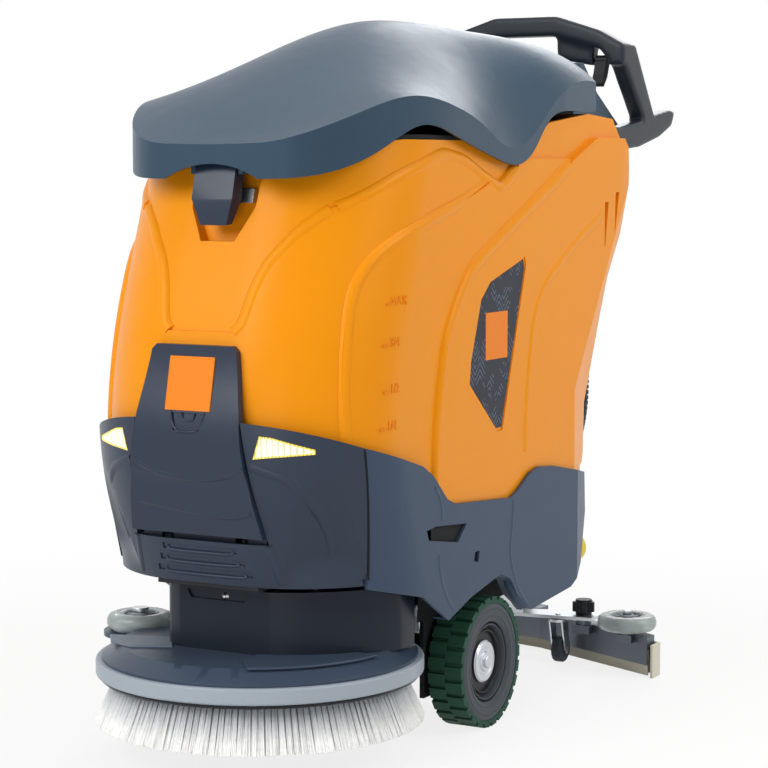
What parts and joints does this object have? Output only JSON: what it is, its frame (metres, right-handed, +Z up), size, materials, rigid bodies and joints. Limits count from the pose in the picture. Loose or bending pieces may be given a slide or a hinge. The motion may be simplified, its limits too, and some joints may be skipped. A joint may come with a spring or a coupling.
{
  "type": "floor scrubber-dryer",
  "caption": "Walk-behind floor scrubber-dryer: moulded tank under a hinged lid, raised disc brush deck with splash ring, drive wheels, swept rear squeegee on a hose, console and bow handle.",
  "frame": {"origin": "on the floor, midway between the front of the splash ring and the tips of the handle, on the machine's centre plane", "axes": "+Y rearwards to the handle, +Z up, +X to the machine's left"},
  "size_m": [0.686, 1.453, 1.1913],
  "materials": {
    "tank_orange": "satin moulded polyethylene",
    "cover_grey": "fine-grained moulding",
    "lid_grey": "satin moulding",
    "black_plastic": "fine-grained moulding",
    "light_grey": "moulded",
    "tub_grey": "moulded",
    "lamp": "clear lens",
    "steel": "brushed",
    "frame_black": "powder coat",
    "motor_metal": "cast",
    "tread": "non-marking rubber",
    "rim_dark": "moulded",
    "bristle": "nylon strands",
    "blade": "gum rubber",
    "seal": "foam rubber",
    "hose": "ribbed",
    "roller": "soft plastic",
    "yellow": "moulded",
    "display": "blank panel",
    "battery": "case",
    "bar_metal": "cast, satin"
  },
  "bodies": {
    "chassis": {"chassis_frame": "frame_black", "base_front_cover": "cover_grey", "base_shell": "cover_grey", "headlights": "lamp", "hatch_pins": "steel", "solution_tank": "tank_orange", "recovery_tank": "tub_grey", "lid_gasket": "seal", "hinge_pins": "steel", "latch_striker": "steel", "battery_pack": "battery", "vacuum_motor": "motor_metal", "solution_filter": "light_grey", "transaxle": "motor_metal", "lift_actuator": "black_plastic", "console_housing": "lid_grey", "console_display": "display", "handle_frame": "black_plastic", "suction_hose": "hose"},
    "lid": {"lid": "lid_grey", "latch_pin": "steel"},
    "latch": {"lid_latch": "cover_grey"},
    "hatch": {"front_hatch": "cover_grey"},
    "deck": {"deck_housing": "cover_grey", "bumper_ring": "light_grey", "brush_motor": "motor_metal", "lift_posts": "steel", "deck_screws": "steel", "roller_pin": "steel"},
    "brush": {"brush_backing": "light_grey", "brush_bristles": "bristle"},
    "guide_roller": {"guide_roller": "roller"},
    "squeegee": {"squeegee_carrier": "steel", "squeegee_bar": "bar_metal", "rear_blade": "blade", "front_blade": "blade"},
    "drain_cap": {"drain_cap": "yellow"},
    "button_left": {"button_left": "light_grey"},
    "button_right": {"button_right": "yellow"},
    "key_switch": {"key_switch": "steel"},
    "drive_wheel_left": {"tyre_left": "tread", "rim_left": "rim_dark", "wheel_axle_left": "steel"},
    "rear_swivel_left": {"rear_fork_left": "steel"},
    "rear_wheel_left": {"rear_castor_wheel_left": "roller"},
    "knob_left": {"star_knob_left": "black_plastic"},
    "small_swivel_left": {"small_fork_left": "steel"},
    "small_wheel_left": {"small_wheel_left": "roller"},
    "end_roller_left": {"end_roller_left": "roller"},
    "trigger_left": {"trigger_left": "black_plastic"},
    "drive_wheel_right": {"tyre_right": "tread", "rim_right": "rim_dark", "wheel_axle_right": "steel"},
    "rear_swivel_right": {"rear_fork_right": "steel"},
    "rear_wheel_right": {"rear_castor_wheel_right": "roller"},
    "knob_right": {"star_knob_right": "black_plastic"},
    "small_swivel_right": {"small_fork_right": "steel"},
    "small_wheel_right": {"small_wheel_right": "roller"},
    "end_roller_right": {"end_roller_right": "roller"},
    "trigger_right": {"trigger_right": "black_plastic"}
  },
  "joints": [
    {"name": "lid_hinge", "type": "hinge", "parent": "chassis", "child": "lid", "pos_m": [0, 0.2755, 1.016], "axis": [-1, 0, 0], "range_deg": [0, 60]},
    {"name": "latch_swing", "type": "hinge", "parent": "lid", "child": "latch", "pos_m": [0, -0.5765, 0.908], "axis": [-1, 0, 0], "range_deg": [0, 35]},
    {"name": "hatch_hinge", "type": "hinge", "parent": "chassis", "child": "hatch", "pos_m": [0, -0.6205, 0.34], "axis": [1, 0, 0], "range_deg": [0, 60]},
    {"name": "deck_lift", "type": "slide", "parent": "chassis", "child": "deck", "axis": [0, 0, 1], "range_m": [-0.054, 0]},
    {"name": "brush_spin", "type": "hinge", "parent": "deck", "child": "brush", "pos_m": [0, -0.4705, 0.13], "axis": [0, 0, 1], "continuous": true},
    {"name": "guide_roller_spin", "type": "hinge", "parent": "deck", "child": "guide_roller", "pos_m": [-0.245, -0.4465, 0.18], "axis": [0, 0, 1], "continuous": true},
    {"name": "squeegee_lift", "type": "hinge", "parent": "chassis", "child": "squeegee", "pos_m": [0, 0.1845, 0.15], "axis": [1, 0, 0], "range_deg": [0, 12], "deforming": ["suction_hose"]},
    {"name": "drain_cap_turn", "type": "hinge", "parent": "chassis", "child": "drain_cap", "pos_m": [0.205, 0.2415, 0.234], "axis": [0, 1, 0], "range_deg": [0, 90]},
    {"name": "key_turn", "type": "hinge", "parent": "chassis", "child": "key_switch", "pos_m": [-0.11, 0.48175, 1.019], "axis": [0, 0.4961, 0.8682], "range_deg": [0, 90]},
    {"name": "drive_spin_left", "type": "hinge", "parent": "chassis", "child": "drive_wheel_left", "pos_m": [0.218, -0.1605, 0.107], "axis": [1, 0, 0], "continuous": true},
    {"name": "rear_swivel_left", "type": "hinge", "parent": "chassis", "child": "rear_swivel_left", "pos_m": [0.088, 0.1095, 0.104], "axis": [0, 0, 1], "continuous": true},
    {"name": "rear_roll_left", "type": "hinge", "parent": "rear_swivel_left", "child": "rear_wheel_left", "pos_m": [0.088, 0.1355, 0.04], "axis": [1, 0, 0], "continuous": true},
    {"name": "knob_turn_left", "type": "hinge", "parent": "squeegee", "child": "knob_left", "pos_m": [0.178, 0.3635, 0.095], "axis": [0, 0, 1], "range_deg": [0, 360]},
    {"name": "small_swivel_left", "type": "hinge", "parent": "squeegee", "child": "small_swivel_left", "pos_m": [0.138, 0.3375, 0.084], "axis": [0, 0, 1], "range_deg": [-60, 60]},
    {"name": "small_roll_left", "type": "hinge", "parent": "small_swivel_left", "child": "small_wheel_left", "pos_m": [0.138, 0.3495, 0.025], "axis": [1, 0, 0], "continuous": true},
    {"name": "end_roller_spin_left", "type": "hinge", "parent": "squeegee", "child": "end_roller_left", "pos_m": [0.284, 0.3175, 0.094], "axis": [0, 0, 1], "continuous": true},
    {"name": "trigger_pull_left", "type": "hinge", "parent": "chassis", "child": "trigger_left", "pos_m": [0.149, 0.4935, 1.109], "axis": [1, 0, 0], "range_deg": [0, 25], "stiffness_Nm_per_rad": 1},
    {"name": "button_push_left", "type": "slide", "parent": "chassis", "child": "button_left", "axis": [0, -0.4961, -0.8682], "range_m": [0, 0.003], "stiffness_N_per_m": 700},
    {"name": "drive_spin_right", "type": "hinge", "parent": "chassis", "child": "drive_wheel_right", "pos_m": [-0.218, -0.1605, 0.107], "axis": [1, 0, 0], "continuous": true},
    {"name": "rear_swivel_right", "type": "hinge", "parent": "chassis", "child": "rear_swivel_right", "pos_m": [-0.088, 0.1095, 0.104], "axis": [0, 0, 1], "continuous": true},
    {"name": "rear_roll_right", "type": "hinge", "parent": "rear_swivel_right", "child": "rear_wheel_right", "pos_m": [-0.088, 0.1355, 0.04], "axis": [1, 0, 0], "continuous": true},
    {"name": "knob_turn_right", "type": "hinge", "parent": "squeegee", "child": "knob_right", "pos_m": [-0.178, 0.3635, 0.095], "axis": [0, 0, 1], "range_deg": [0, 360]},
    {"name": "small_swivel_right", "type": "hinge", "parent": "squeegee", "child": "small_swivel_right", "pos_m": [-0.138, 0.3375, 0.084], "axis": [0, 0, 1], "range_deg": [-60, 60]},
    {"name": "small_roll_right", "type": "hinge", "parent": "small_swivel_right", "child": "small_wheel_right", "pos_m": [-0.138, 0.3495, 0.025], "axis": [1, 0, 0], "continuous": true},
    {"name": "end_roller_spin_right", "type": "hinge", "parent": "squeegee", "child": "end_roller_right", "pos_m": [-0.284, 0.3175, 0.094], "axis": [0, 0, 1], "continuous": true},
    {"name": "trigger_pull_right", "type": "hinge", "parent": "chassis", "child": "trigger_right", "pos_m": [-0.149, 0.4935, 1.109], "axis": [1, 0, 0], "range_deg": [0, 25], "stiffness_Nm_per_rad": 1},
    {"name": "button_push_right", "type": "slide", "parent": "chassis", "child": "button_right", "axis": [0, -0.4961, -0.8682], "range_m": [0, 0.003], "stiffness_N_per_m": 700}
  ]
}
